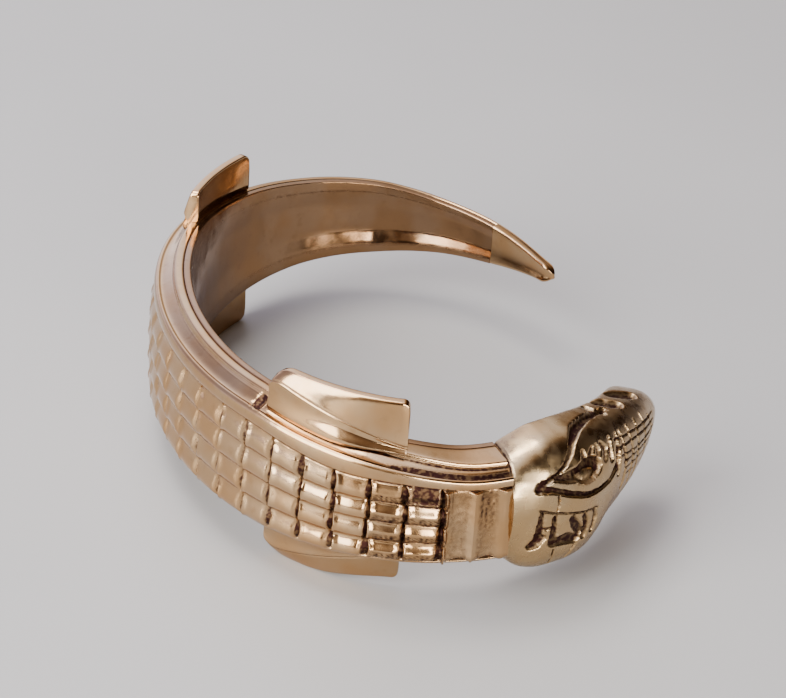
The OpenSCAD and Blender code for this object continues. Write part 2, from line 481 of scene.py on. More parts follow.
def back_relief(size, t, u, profile):
    """Height added to the back's outside along its normal, and its darkness, at every grid point."""
    arc = arc_length(profile)
    first = np.searchsorted(u, FIELD_START)
    last = np.searchsorted(u, FIELD_END)
    width = arc[:, last] - arc[:, first]
    lane = LANES * (arc - arc[:, first][:, None]) / width[:, None]
    inside = smoothstep(lane, -0.06, 0.02) * (1 - smoothstep(lane, LANES - 0.02, LANES + 0.06))
    middle = oval_place(size, t, crest(size, t), 0)
    step = np.linalg.norm(np.gradient(middle, axis=0), axis=1) / np.gradient(t)
    angle = t[:, None] + 0 * lane
    scales, hollow, across = scute_field(angle, lane, step[:, None])
    strength = size.scute_relief * eased(angle, [(45, 0.34), (80, 0.55), (120, 0.85), (150, 1.0)])
    scaled = inside * (1 - smoothstep(angle, LAST_CUT + 0.5, LAST_CUT + 1.1))
    relief = scales * strength * scaled
    depth = eased(angle, [(60, 0.5), (180, 0.45), (222, 0.62), (236, 1.0)])
    dark = scaled * depth * smoothstep(hollow, 0.05, 0.55)
    dark = np.maximum(dark, 0.34 * scaled * across**12)
    relief, dark = engrave_lanes(relief, dark, angle, lane, scaled)
    relief, dark = rib_neck(relief, dark, angle, lane, inside)
    relief, dark = pit_solder(relief, dark, angle, u)
    return cut_channels(relief, dark, angle, u)


def back_rows():
    """Angles of the rings of the back, crowded together at the cuts between scales."""
    count = int((LAST_CUT - TAIL_SEAM - 1) / CUT_PITCH) + 1
    cuts = LAST_CUT - CUT_PITCH * np.arange(count)
    tail = crowded(TAIL_SEAM, 150, 150, cuts, 0.5, 2.0)
    front = crowded(150, NECK_SEAM, 350, np.concatenate([cuts, [LAST_CUT + 1]]), 0.55, 2.6)
    return np.concatenate([tail[:-1], front])


def back_grid(size):
    """Rings of the hollow back: the worked outside, then the plain inside of the cast wall."""
    t = back_rows()
    controls = held_ends(back_controls(size, t, LINING / MM))
    samples = [1] * 2 + [2] * 5 + [3] * 9 + [11] * 10 + [3] * 3 + [2] * 11 + [1] * 2
    u = np.append(places(samples), float(len(samples)))
    outside = spline(controls, u)
    relief, dark = back_relief(size, t, u, outside)
    outside = outside + outward(outside, False) * relief[..., None]
    h = half_height(size, t)
    c = crest(size, t)
    lining = LINING / MM
    wall = np.minimum(CAST_WALL, 0.42 * (c - lining))
    inner = section(len(t), (lining, h - 1.3 * wall), (rim(t), h - 1.3 * wall),
                    (border(size, t) - wall, h - 2.2 * wall), (c - 1.2 * wall, 0.35 * h))
    inner = mirrored(inner)[:, ::-1]
    loop = np.concatenate([outside, inner], axis=1)
    dark = np.concatenate([dark, np.full(inner.shape[:2], 0.3)], axis=1)
    grid = oval_place(size, t[:, None], loop[..., 0], loop[..., 1])
    return grid, dark


def lining_grid(size):
    """Rings of the lining: a bent sheet whose inner face has a raised strip along each edge. From
    there it slopes to a dished middle, most of all in the tail, with the waviness of hand work."""
    t = crowded(TAIL_SEAM, NECK_SEAM, 300, [TAIL_SEAM], 1.0, 1.0)
    h = half_height(size, t)
    thick = LINING / MM
    half = section(len(t), (0.0, 0.0), (0.0, 0.3 * h), (0.0, 0.6 * h), (0.0, 0.85 * h), (0.0, h - 0.12),
                   (0.05, h - 0.02), (0.16, h - 0.01), (thick - 0.16, h - 0.01), (thick - 0.04, h - 0.03),
                   (thick, h - 0.14), (thick, 0.6 * h))
    controls = looped(np.concatenate([half, half[:, :0:-1] * np.array([1, -1])], axis=1))
    samples = [9, 9, 9, 5, 2, 2, 2, 2, 2, 2, 2, 2, 2, 2, 2, 2, 2, 5, 9, 9, 9]
    profile = spline(controls, places(samples))
    level = profile[..., 1] / h[:, None]
    angle = t[:, None] + 0 * level
    face = 1 - smoothstep(profile[..., 0], 0.05, 0.3)
    amount = eased(angle, [(45, 0.5), (58, 1.0), (100, 1.0), (126, 0.45), (277, 0.35)])
    edges = [0.75 + shift for shift in (-0.05, -0.02, 0.02, 0.05)]
    slope = np.mean([np.clip((edge - np.abs(level)) / 0.38, 0, 1) for edge in edges], axis=0)
    dish = amount * ((0.60 + 0.1 * unevenness(angle * 0.3, level, 14)) * slope - 0.18)
    wavy = 0.035 * (1 + unevenness(angle * 0.16, level * 2.2, 11))
    wavy = wavy + 0.012 * (1 + unevenness(angle * 0.9, level * 4, 5))
    profile[..., 0] += face * (dish + wavy)
    # painted shade: a dark line along the crease where each raised strip meets the dish
    dark = face * (0.35 * bell(np.abs(level) - 0.76, 0.03) * amount + 0.1)
    return oval_place(size, angle, profile[..., 0], profile[..., 1]), dark


def tail_grid(size):
    """Rings of the solid tail tip: the back's outline closed by a plain inner face, drawn together
    along a quarter circle over the last degrees so that the tip ends in a blunt round nose."""
    nose = 2.6
    t = TAIL_TIP + nose * (1 - np.cos(np.linspace(0.06, np.pi / 2, 12)))
    t = np.concatenate([t, np.linspace(TAIL_TIP + nose, TAIL_SEAM, 70)[1:]])
    controls = held_ends(back_controls(size, t, 0.0))
    samples = [1] * 2 + [2] * 14 + [8] * 10 + [2] * 14 + [1] * 2
    u = np.append(places(samples), float(len(samples)))
    outside = spline(controls, u)
    relief, dark = back_relief(size, t, u, outside)
    outside = outside + outward(outside, False) * relief[..., None]
    h = half_height(size, t)
    inner = section(len(t), (0.0, -0.8 * h), (0.12, -0.5 * h), (0.18, 0.0), (0.12, 0.5 * h),
                    (0.0, 0.8 * h))
    loop = np.concatenate([outside, inner], axis=1)
    dark = np.concatenate([dark, np.full(inner.shape[:2], 0.05)], axis=1)
    draw = np.sqrt(np.clip(1 - (1 - np.clip((t - TAIL_TIP) / nose, 0, 1)) ** 2, 0, 1))[:, None, None]
    centre = np.stack([0.55 * crest(size, t), 0 * t], axis=-1)[:, None]
    loop = centre + (loop - centre) * draw
    return oval_place(size, t[:, None], loop[..., 0], loop[..., 1]), dark


# ---------------------------------------------------------------- the legs


def corner_fall(near_end, turn, drop):
    """How far the free edge falls at an angle from an end: the quarter ellipse
    drop * (1 - sqrt(1 - (1 - near_end / turn)^2))."""
    return drop * (1 - np.sqrt(np.clip(1 - np.clip(1 - near_end / turn, 0, 1) ** 2, 0, 1)))


def leg_grid(size, span, upper, front):
    """Rings of a leg plate: an upright sheet with a rounded free edge and a crease along its outer
    face, and a foot that wraps the rim. On a front leg the crease runs down from the rear end to the
    fore end, where the foot is narrower, and the lower plate also gets shorter towards that end."""
    start, stop = span
    t = crowded(start, stop, 90, [start, stop], 2.0, 2.5)
    h = half_height(size, t)
    w = rim(t)
    s = relief_scale(size, t)
    along = (t - start) / (stop - start)
    grip = 1 - 0.72 * smoothstep(along, 0.45, 1.0) if front else 1 + 0 * along
    foot = w + grip * (border(size, t) - w) / 2
    inset = LEG_INSET
    out = inset + size.leg_sheet / MM
    rear, fore = ((4.5, 1.8), (1.6, 0.9)) if front else ((2.4, 1.1), (1.4, 0.7))
    fall = np.maximum(corner_fall(t - start, *rear), corner_fall(stop - t, *fore))
    if front and not upper:
        fall = fall + 1.4 * smoothstep(t, start + 0.3 * (stop - start), stop)
    top = size.stance_height / MM / 2 - fall
    room = top - h
    crease = h + room * np.clip(0.8 - 0.72 * along**0.8, 0.1, 0.8) if front else h + 0.35 * room
    mid = (crease + h) / 2
    controls = section(
        len(t), (inset, h - 0.02), (inset, h + 0.3 * room), (inset, h + 0.7 * room), (inset, top - 0.22),
        (inset + 0.05, top - 0.05), (inset + 0.22, top), (out - 0.55, top), (out - 0.36, top - 0.02),
        (out - 0.27, top - 0.16), (out - 0.03, top - 0.3 * (top - crease)),
        (out + 0.28, crease + 0.25 * (top - crease)), (out + 0.46, crease), (out + 0.52, crease - 0.04),
        (out + 0.5 * (foot - out), mid), (foot - 0.15, h + 0.02 * room),
        (foot + 0.04, h - 0.6 * s * grip), (foot, h - 1.02 * s * grip), (foot - 0.1, h - 1.1 * s * grip),
        (w + 0.1 * s, h - 0.6 * s * grip), (w + 0.02, h - 0.08), (w - 0.2, h - 0.02),
        (0.5 * (inset + w), h - 0.02))
    samples = [3, 5, 5, 3, 3, 3, 4, 4, 4, 6, 6, 4, 5, 6, 5, 5, 3, 3, 2, 2, 2, 2]
    profile = spline(looped(controls), places(samples))
    level = profile[..., 1]
    angle = t[:, None] + 0 * level
    normal = outward(profile, True)
    out_face = smoothstep(normal[..., 0], 0.2, 0.6)
    relief = -0.07 * bell(level - crease[:, None] - 0.03, 0.1) * out_face
    relief = relief + 0.02 * unevenness(angle * 0.35, level * 0.9, 21 + front)
    profile = profile + normal * relief[..., None]
    profile[..., 1] = np.minimum(profile[..., 1], size.stance_height / MM / 2)
    near_ends = np.minimum(t - start, stop - t)
    draw = 1 - 0.05 * (1 - smoothstep(near_ends, 0.0, 0.35))[:, None, None]
    centre = np.mean(profile, axis=1, keepdims=True)
    profile = centre + (profile - centre) * draw
    dark = 0.5 * bell(level - crease[:, None] - 0.03, 0.07) * out_face
    solder = bell(level - (h - s * grip)[:, None], 0.12) * (profile[..., 0] > w[:, None])
    dark = np.maximum(dark, 0.75 * solder)
    sign = 1 if upper else -1
    return oval_place(size, angle, profile[..., 0], sign * profile[..., 1]), dark


# ---------------------------------------------------------------- the head


def head_half_height(size, t):
    """Height of the upper cheek above the middle plane at an angle."""
    jowl = size.head_height / MM / 2
    return eased(t, [(277, 5.6), (280, 6.3), (285, jowl), (292, jowl), (300, jowl - 0.6), (309, 5.5),
                     (320, 4.05), (324, 3.45), (327, 2.8), (330, 2.1), (332, 1.5)], 1.2)


def far_half_height(size, t):
    """The same for the lower cheek, where the jowl hangs out further and the snout stays fuller."""
    jowl = size.head_height / MM / 2
    return eased(t, [(277, 6.1), (280, 7.3), (284, jowl + 0.7), (290, jowl + 0.85),
                     (295.5, jowl + 0.75), (299, 7.0), (302.5, 6.1), (309, 5.7), (320, 5.3),
                     (327, 4.4), (330, 3.2), (332, 1.8)], 1.2)


def head_crest(t):
    """Depth of the skull's top at an angle."""
    return eased(t, [(277, 6.3), (283, 6.75), (292, 6.95), (300, 6.45), (309, 5.95), (320, 5.8),
                     (327, 5.52), (332, 4.9)], 1.2)


def head_inside(t):
    """Depth of the jaw's inner face at an angle."""
    return eased(t, [(277, 0), (318, 0), (324, 0.1), (327, 0.4), (330, 1.0), (332, 1.8)], 1.0)


# How finely each span of the head's section is divided, from the middle of the jaw's inner face
# over the upper cheek, the crown and the lower cheek and back.
HEAD_SAMPLES = [8, 7, 5, 5, 6, 9, 13, 16, 17, 17, 17, 17, 17, 17, 17, 17, 16, 16, 14, 8, 6, 5, 5, 7]


def head_controls(size, t):
    """Plain sections of the head: flat jaw inside, upright cheeks and a domed skull. The lower cheek
    is squarer beside the jowl and rounder beside the snout."""
    h = head_half_height(size, t)
    low = -far_half_height(size, t)
    i = head_inside(t)
    d = head_crest(t) - i
    square = eased(t, [(277, 0.5), (281, 1.0), (298, 1.0), (303, 0.7), (314, 0.6), (332, 0.3)], 1.5)
    upper = section(
        len(t), (i, 0.0), (i, 0.45 * h), (i, 0.8 * h), (i + 0.06, 0.96 * h), (i + 0.5, h),
        (i + 0.22 * d, 1.005 * h), (i + 0.4 * d, h), (i + 0.57 * d, 0.975 * h), (i + 0.72 * d, 0.88 * h),
        (i + 0.85 * d, 0.7 * h), (i + 0.95 * d, 0.46 * h), (i + d, 0.22 * h), (i + d + 0.02, 0.0))
    lower = section(
        len(t), (i + (0.97 + 0.03 * square) * d, 0.22 * low),
        (i + (0.88 + 0.11 * square) * d, 0.46 * low), (i + (0.76 + 0.2 * square) * d, 0.7 * low),
        (i + (0.64 + 0.23 * square) * d, (0.86 + 0.04 * square) * low),
        (i + (0.5 + 0.2 * square) * d, (0.95 + 0.04 * square) * low), (i + 0.4 * d, low),
        (i + 0.22 * d, low), (i + 0.5, 0.99 * low), (i + 0.06, 0.95 * low), (i, 0.8 * low),
        (i, 0.45 * low))
    return looped(np.concatenate([upper, lower], axis=1))


def head_rows():
    """Angles of the head's rings, closer together over the snout."""
    return crowded(NECK_SEAM, SNOUT, 235, [SNOUT], 4.0, 1.2)


CROWN = 11  # place of the skull's crown along the head's section

# Each cut or ridge of the head: its places as (angle, girth), where girth counts the spans of the
# section from the crown, positive on the upper side; half widths along it; depth, negative where
# the ridge stands proud; and how dark it is. In millimetres.
MOUTH = [(307.6, 6.0), (303.6, 6.2), (298.5, 6.0), (294.0, 5.4), (291.2, 4.4), (289.8, 3.6),
         (288.0, 2.95), (286.0, 2.55), (284.0, 2.35), (282.2, 2.15)]
BROW = [(284.4, 2.05), (286.4, 1.72), (289.2, 1.42), (292.0, 1.12), (295.0, 0.92), (298.0, 1.02),
        (300.4, 1.5), (301.8, 2.2), (302.2, 2.9)]
UNDER_BROW = [(282.3, 2.0), (285.1, 1.62), (288.4, 1.12), (292.2, 0.62), (296.0, 0.36), (299.6, 0.5),
              (302.6, 1.3), (303.4, 2.2)]
SNOUT_EDGE = [(328.0, 3.7), (320.0, 4.0), (312.7, 4.1), (305.0, 3.85), (300.0, 3.65), (296.0, 3.5),
              (292.5, 3.25)]
HEAD_WORK = (
    # the mouth's line, and three slots between the teeth of the upper side
    (MOUTH, (0.40, 0.46, 0.55, 0.62, 0.42, 0.34, 0.28, 0.26, 0.34, 0.45), 0.62, 0.95),
    ([(304.6, 7.5), (304.4, 6.5), (305.6, 5.6)], (0.40, 0.62, 0.40), 0.42, 0.7),
    ([(310.2, 7.3), (311.6, 6.5), (313.2, 5.7)], (1.0, 1.2, 0.8), 0.6, 0.78),
    ([(318.2, 7.0), (319.8, 6.2), (321.6, 5.4)], (1.0, 1.2, 0.8), 0.55, 0.74),
    # the pit where the mouth's line ends, the snout's raised edge, and the hollow behind the eye
    ([(282.1, 2.0), (283.0, 2.25)], (0.55, 0.45), 0.55, 0.95),
    (SNOUT_EDGE, (0.55,), -0.22, 0.0),
    ([(285.6, 2.3), (287.8, 2.2), (290.0, 2.2)], (0.3, 0.6, 0.8), 0.5, 0.7),
    # the raised brow, the groove below it with a nick across it, and a fine crease along the cheek
    (BROW, (0.30, 0.42, 0.48, 0.52, 0.56, 0.6, 0.6, 0.56, 0.44), -0.7, 0.0),
    (UNDER_BROW, (0.50, 0.36, 0.36, 0.36, 0.36, 0.38, 0.48, 0.5), 0.45, 0.95),
    ([(285.9, 1.15), (286.1, 0.65), (285.8, 0.15)], (0.14, 0.16, 0.12), 0.3, 0.8),
    ([(282.1, 0.5), (285.1, 0.06), (288.6, -0.3), (292.2, -0.62), (296.5, -0.95)], (0.12,), 0.16, 0.75),
    # the pits and cuts between the plates of the cheek
    ([(282.7, 0.15), (282.6, -0.6), (282.4, -1.5)], (0.32, 0.42, 0.58), 0.5, 0.9),
    ([(281.1, -2.15), (282.1, -1.9), (283.3, -1.6)], (0.5, 0.74, 0.46), 0.6, 0.95),
    ([(283.3, -1.0), (285.4, -0.9)], (0.16,), 0.24, 0.85),
    ([(285.5, -0.35), (285.6, -1.2), (285.6, -2.1)], (0.36, 0.44, 0.56), 0.46, 0.9),
    ([(286.2, -2.1), (288.4, -2.05), (291.0, -2.3)], (0.6, 0.82, 0.66), 0.44, 0.8),
    ([(289.6, -0.8), (290.4, -1.3), (291.8, -1.9)], (0.46, 0.62, 0.62), 0.4, 0.8),
    ([(292.6, -0.95), (293.4, -1.6), (293.2, -2.4)], (0.36, 0.5, 0.52), 0.4, 0.85),
    ([(295.4, -0.9), (296.0, -1.6), (295.5, -2.4)], (0.3, 0.4, 0.4), 0.38, 0.8),
    # the ridge below those plates and two creases across it
    ([(279.6, -2.9), (283.0, -2.9), (287.0, -3.0), (291.0, -3.2), (294.0, -3.3)], (0.7,), -0.16, 0.0),
    ([(286.2, -2.6), (286.4, -3.2), (286.2, -4.0)], (0.13,), 0.3, 0.85),
    ([(291.2, -2.7), (290.6, -3.2), (290.0, -3.7)], (0.18,), 0.34, 0.9),
    # the plainer mouth's line of the lower side, and its two slots
    ([(307.6, -6.0), (303.6, -6.2), (298.5, -6.0), (294.0, -5.4), (291.2, -4.8)], (0.5,), 0.55, 0.9),
    ([(312.6, -7.4), (309.7, -5.3)], (0.4,), 0.45, 0.75),
    ([(320.8, -6.8), (317.4, -5.0)], (0.4,), 0.45, 0.7),
)
EYE = (293.0, 2.0)  # middle of its socket
HATCH_ANGLES = (292.6, 294.8, 296.9, 298.9, 301.0, 303.4, 306.0, 309.4, 312.4, 316.2, 320.6)
HATCH_GIRTHS = (2.9, 2.2, 1.5, 0.8, 0.1, -0.6)


def on_head(size, path, count=26):
    """Points on the plain head along a path of (angle, girth) places, in millimetres."""
    path = np.asarray(path, dtype=float)
    at = np.linspace(0, len(path) - 1, count)
    t = np.interp(at, np.arange(len(path)), path[:, 0])
    girth = np.interp(at, np.arange(len(path)), path[:, 1])
    u = (CROWN - girth) % len(HEAD_SAMPLES)
    spot = spline(head_controls(size, t), u)[np.arange(count), np.arange(count)]
    return oval_place(size, t, spot[:, 0], spot[:, 1])


def worked(points, size, path, widths, softness):
    """How much a cut or ridge along a path acts at each point: 1 within its middle, falling to 0
    about its half width, which runs along the path through the given widths. The edge wavers a
    little, as cut by hand."""
    near, along = distance_to_line(points, on_head(size, path))
    near = near + 0.07 * unevenness(points[..., 0] * 5, points[..., 1] * 3 + points[..., 2] * 6, 17)
    half = np.interp(along * (len(widths) - 1), np.arange(len(widths)), widths)
    return 1 - smoothstep(near, half * (1 - softness), half * (1 + 0.25 * softness))


def hatch_lines():
    """Cross-hatched scales of the snout: lines across it, thick and short beside the eye, and lines
    along it that lean a little outwards. Yields a path, its half widths and its depth."""
    for k, t in enumerate(HATCH_ANGLES):
        thick = float(np.interp(t, [292, 300, 308, 322], [0.40, 0.44, 0.30, 0.15]))
        stop = float(np.interp(t, [292, 297, 301, 303, 306, 322], [2.85, 2.5, 1.9, 0.6, -1.5, -3.0]))
        lean = 0.7 * math.sin(1.7 * k)
        start = 3.35 if t < 318 else 2.6
        path = [(t + lean, start), (t - 0.5 * lean, (start + stop) / 2), (t - 0.4, stop)]
        yield path, (0.6 * thick, thick, 0.8 * thick), 0.75 * thick + 0.1
    for k, girth in enumerate(HATCH_GIRTHS):
        lean = 0.12 * math.sin(2.3 * k)
        path = [(303 + 0.8 * k, girth + 0.1), (311, girth - 0.25 + lean), (323 - 0.6 * k, girth - 0.7)]
        yield path, (0.17, 0.14, 0.11), 0.16


def carve_eye(size, points, relief, dark):
    """The eye: half an egg with a speckled face in a deep oval socket under the brow."""
    middle, over, beside = on_head(size, [EYE, (EYE[0], EYE[1] + 0.5), (EYE[0] + 2, EYE[1])], 3)
    along = (beside - middle) / np.linalg.norm(beside - middle)
    across = over - middle - ((over - middle) @ along) * along
    across = across / np.linalg.norm(across)
    place = points - middle
    x, y = place @ along, place @ across
    close = np.linalg.norm(place, axis=-1) < 4
    socket = (1 - smoothstep(np.hypot((x - 0.2) / 2.15, (y - 0.25) / 1.4), 0.8, 1.03)) * close
    ball = np.sqrt(np.clip(1 - np.hypot((x + 0.05) / 1.75, (y + 0.45) / 0.85) ** 2, 0, 1)) * close
    speckle = unevenness(x * 9, y * 9, 31) * (ball > 0)
    sunk = relief * (1 - socket) - 0.9 * socket + 0.45 * ball + 0.07 * speckle
    relief = np.where(socket > 0.02, sunk, relief)
    # painted shade: the socket around the ball is darkened; the speckles on the ball are its own mottling
    dark = np.maximum(dark * (1 - (ball > 0.15)), 0.95 * socket * (1 - smoothstep(ball, 0.2, 0.6)))
    dark = np.maximum(dark, (0.34 + 0.3 * speckle) * (ball > 0.15))
    return relief, dark


def head_relief(size, points):
    """Height added to the plain head along its normal, and its darkness: cuts keep the deepest of
    those that meet, ridges rise only where nothing is cut, and then come the hatching and the eye."""
    relief = np.zeros(points.shape[:2])
    dark = np.zeros(points.shape[:2])
    for path, widths, depth, darkness in HEAD_WORK:
        if depth > 0:
            amount = worked(points, size, path, widths, 0.5)
            relief = np.minimum(relief, -depth * amount)
        else:
            amount = worked(points, size, path, widths, 1.0)
            relief = relief - depth * amount * (relief >= 0)
        dark = np.maximum(dark, darkness * amount)
    for path, widths, depth in hatch_lines():
        amount = worked(points, size, path, widths, 0.9)
        relief = relief - depth * amount
        dark = np.maximum(dark, 0.85 * amount)
    relief, dark = carve_eye(size, points, relief, dark)
    return relief * size.engraving, dark


def head_grid(size):
    """Rings of the head: the plain form drawn together over a blunt snout tip, then carved."""
    t = head_rows()
    profile = spline(head_controls(size, t), places(HEAD_SAMPLES))
    plain = oval_place(size, t[:, None], profile[..., 0], profile[..., 1])
    relief, dark = head_relief(size, plain)
    seam = bell(t - NECK_SEAM - 0.25, 0.3)[:, None] * smoothstep(plain[..., 2] - MID_Z / MM, 2.5, 4.0)
    relief = relief - 0.16 * seam
    dark = np.maximum(dark, 0.9 * seam)
    rough = unevenness(plain[..., 0] * 1.4, plain[..., 2] * 1.4 + plain[..., 1], 8)
    profile = profile + outward(profile, True) * (relief + 0.025 * rough)[..., None]
    nose = 5.0
    draw = np.sqrt(np.clip(1 - np.clip(1 - (SNOUT - t) / nose, 0, 0.995) ** 2.4, 0, 1))[:, None, None]
    centre = np.stack([(head_crest(t) + head_inside(t)) / 2, 0 * t], axis=-1)[:, None]
    profile = centre + (profile - centre) * draw
    return oval_place(size, t[:, None], profile[..., 0], profile[..., 1]), dark


# ---------------------------------------------------------------- finishes


def bronze_finish(name, colour, patina_and_shade, roughness, brushed, fine):
    """Bronze: a metal whose colour drifts a little, with small bright and dull patches, fine hand
    scratches in the bump, and wherever the piece's darkness attribute is high a rougher dark stain,
    partly real patina in the recesses and partly painted shade, that is worn through in spots. brushed
    adds strokes and fine sets how strongly the bump shows."""
    material = bpy.data.materials.new(name)
    material.use_nodes = True
    nodes, links = material.node_tree.nodes, material.node_tree.links
    shader = nodes["Principled BSDF"]
    where = nodes.new("ShaderNodeTexCoord")

    def noise(scale, detail, stretch=(1, 1, 1)):
        mapping = nodes.new("ShaderNodeMapping")
        mapping.inputs["Scale"].default_value = stretch
        links.new(where.outputs["Object"], mapping.inputs["Vector"])
        texture = nodes.new("ShaderNodeTexNoise")
        texture.inputs["Scale"].default_value = scale
        texture.inputs["Detail"].default_value = detail
        links.new(mapping.outputs["Vector"], texture.inputs["Vector"])
        return texture.outputs["Fac"]

    def spread(value, low, high, to_low, to_high):
        node = nodes.new("ShaderNodeMapRange")
        node.interpolation_type = "SMOOTHSTEP"
        ends = {"From Min": low, "From Max": high, "To Min": to_low, "To Max": to_high}
        for socket, number in ends.items():
            node.inputs[socket].default_value = number
        links.new(value, node.inputs["Value"])
        return node.outputs["Result"]

    def mix(factor, a, b):
        node = nodes.new("ShaderNodeMix")
        node.data_type = "RGBA"
        links.new(factor, node.inputs["Factor"])
        for socket, value in (("A", a), ("B", b)):
            target = [p for p in node.inputs if p.name == socket and p.type == "RGBA"][0]
            if isinstance(value, tuple):
                target.default_value = (*value, 1)
            else:
                links.new(value, target)
        return [p for p in node.outputs if p.type == "RGBA"][0]

    def maths(operation, a, b):
        node = nodes.new("ShaderNodeMath")
        node.operation = operation
        for k, value in enumerate((a, b)):
            if isinstance(value, (int, float)):
                node.inputs[k].default_value = value
            else:
                links.new(value, node.inputs[k])
        return node.outputs[0]

    attribute = nodes.new("ShaderNodeAttribute")
    attribute.attribute_name = "patina_and_shade"
    grain = noise(2600, 4)
    mottled = maths("MULTIPLY", attribute.outputs["Fac"], spread(grain, 0.3, 0.62, 0.75, 1.15))
    # the dark stain is real patina in the recesses and painted shade in creases, valleys and the eye
    # socket
    stain_and_shade = spread(mottled, 0.12, 0.75, 0.0, 1.0)
    warm = tuple(c * k for c, k in zip(colour, (1.0, 0.93, 0.84)))
    pale = tuple(min(1, c * k) for c, k in zip(colour, (1.03, 1.06, 1.12)))
    base = mix(spread(noise(190, 3), 0.38, 0.64, 0, 1), warm, pale)
    dull = tuple(c * k for c, k in zip(colour, (0.8, 0.74, 0.68)))
    base = mix(spread(noise(900, 5), 0.56, 0.74, 0, 0.5), base, dull)
    worn = tuple(0.5 * c for c in dull)
    recess = mix(spread(noise(1900, 4), 0.46, 0.66, 0, 0.6), patina_and_shade, worn)
    links.new(mix(stain_and_shade, base, recess), shader.inputs["Base Color"])
    shader.inputs["Metallic"].default_value = 1.0
    rough = spread(noise(620, 4), 0.35, 0.7, roughness * 0.8, roughness * 1.5)
    rough = maths("ADD", rough, maths("MULTIPLY", stain_and_shade, 0.38))
    links.new(rough, shader.inputs["Roughness"])

    bump = nodes.new("ShaderNodeBump")
    bump.inputs["Strength"].default_value = 0.35 * fine
    bump.inputs["Distance"].default_value = 0.00005
    lines = noise(900, 3, (1, 1, 0.12) if not brushed else (0.25, 1.2, 1.2))
    height = maths("ADD", noise(420, 5), maths("MULTIPLY", lines, 0.35 + brushed))
    height = maths("ADD", height, maths("MULTIPLY", stain_and_shade, maths("MULTIPLY", grain, 1.6)))
    links.new(height, bump.inputs["Height"])
    links.new(bump.outputs["Normal"], shader.inputs["Normal"])
    return material


def finish_of(context, kind):
    """The finish for a kind of piece, made once and then shared."""
    tone = context.scene.cuff_finish
    name, colour, dullness, brushed, fine = {
        "cast": ("polished_bronze", tone.bronze, 1.0, 0.0, 1.0),
        # the lining's darker colour is painted shade for the inside of the cuff
        "lining": ("lining_painted_shade", tone.lining, 1.3, 0.0, 0.8),
        "leg": ("polished_leg", tone.bronze, 0.9, 0.0, 0.8),
        "head": ("satin_bronze", tone.satin, 1.9, 0.6, 1.2),
    }[kind]
    if name in bpy.data.materials:
        return bpy.data.materials[name]
    return bronze_finish(name, tuple(colour), tuple(tone.patina_and_shade), tone.polish * dullness, brushed, fine)


# ---------------------------------------------------------------- the stage

# Lengths in metres, angles in degrees, and the lens in millimetres
CAMERA_TARGET = Vector((-0.00124, -0.00297, 0.0120))
CAMERA_DISTANCE = 0.24513
CAMERA_AZIMUTH, CAMERA_ELEVATION, CAMERA_ROLL = -14.4, 30.53, 4.05
CAMERA_LENS = 100.8

FLOOR_REACH = 2.0  # from the middle to each side

LIGHT_AIM = (0, 0, 0.011)
LIGHTS = (  # name, place, width and height, power in watts, colour
    ("overhead_light", (-0.12, 0.10, 0.50), (0.24, 0.20), 2.2, (1.0, 0.98, 0.96)),
    ("window_light", (-0.44, -0.22, 0.27), (0.34, 0.50), 6.6, (0.95, 0.98, 1.0)),
    ("front_light", (0.06, -0.58, 0.10), (0.60, 0.11), 4.0, (1.0, 0.97, 0.93)),
)
ROOM_LINE = (-0.36, 0.20, 0.28)  # the line along which the room changes from dark to bright
ROOM_TONES = (  # place along that line, and colour
    (0.34, (0.020, 0.009, 0.005)), (0.50, (0.06, 0.034, 0.017)), (0.60, (0.26, 0.17, 0.11)),
    (0.68, (0.75, 0.64, 0.54)), (0.77, (1.95, 1.98, 2.35)), (0.86, (1.40, 1.40, 1.90)),
    (0.97, (0.52, 0.50, 0.72)),
)
ROOM_STRENGTH = 1.24


def camera_frame():
    """Matrix of the camera: it looks at the target from an azimuth and an elevation, rolled a little."""
    az, el, roll = map(math.radians, (CAMERA_AZIMUTH, CAMERA_ELEVATION, CAMERA_ROLL))
    back = Vector((math.sin(az) * math.cos(el), -math.cos(az) * math.cos(el), math.sin(el)))
    right = Vector((math.cos(az), math.sin(az), 0))
    up = back.cross(right)
    side = right * math.cos(roll) + up * math.sin(roll)
    top = up * math.cos(roll) - right * math.sin(roll)
    turn = Matrix((side, top, back)).transposed()
    return Matrix.Translation(CAMERA_TARGET + back * CAMERA_DISTANCE) @ turn.to_4x4()


def soft_light(name, place, size, power, colour):
    """A rectangular soft light at a place, turned towards the middle of the cuff."""
    data = bpy.data.lights.new(name, "AREA")
    data.shape = "RECTANGLE"
    data.size, data.size_y = size
    data.energy = power
    data.color = colour
    lamp = bpy.data.objects.new(name, data)
    lamp.location = place
    lamp.rotation_euler = (Vector(LIGHT_AIM) - Vector(place)).to_track_quat("-Z", "Y").to_euler()
    bpy.context.scene.collection.objects.link(lamp)


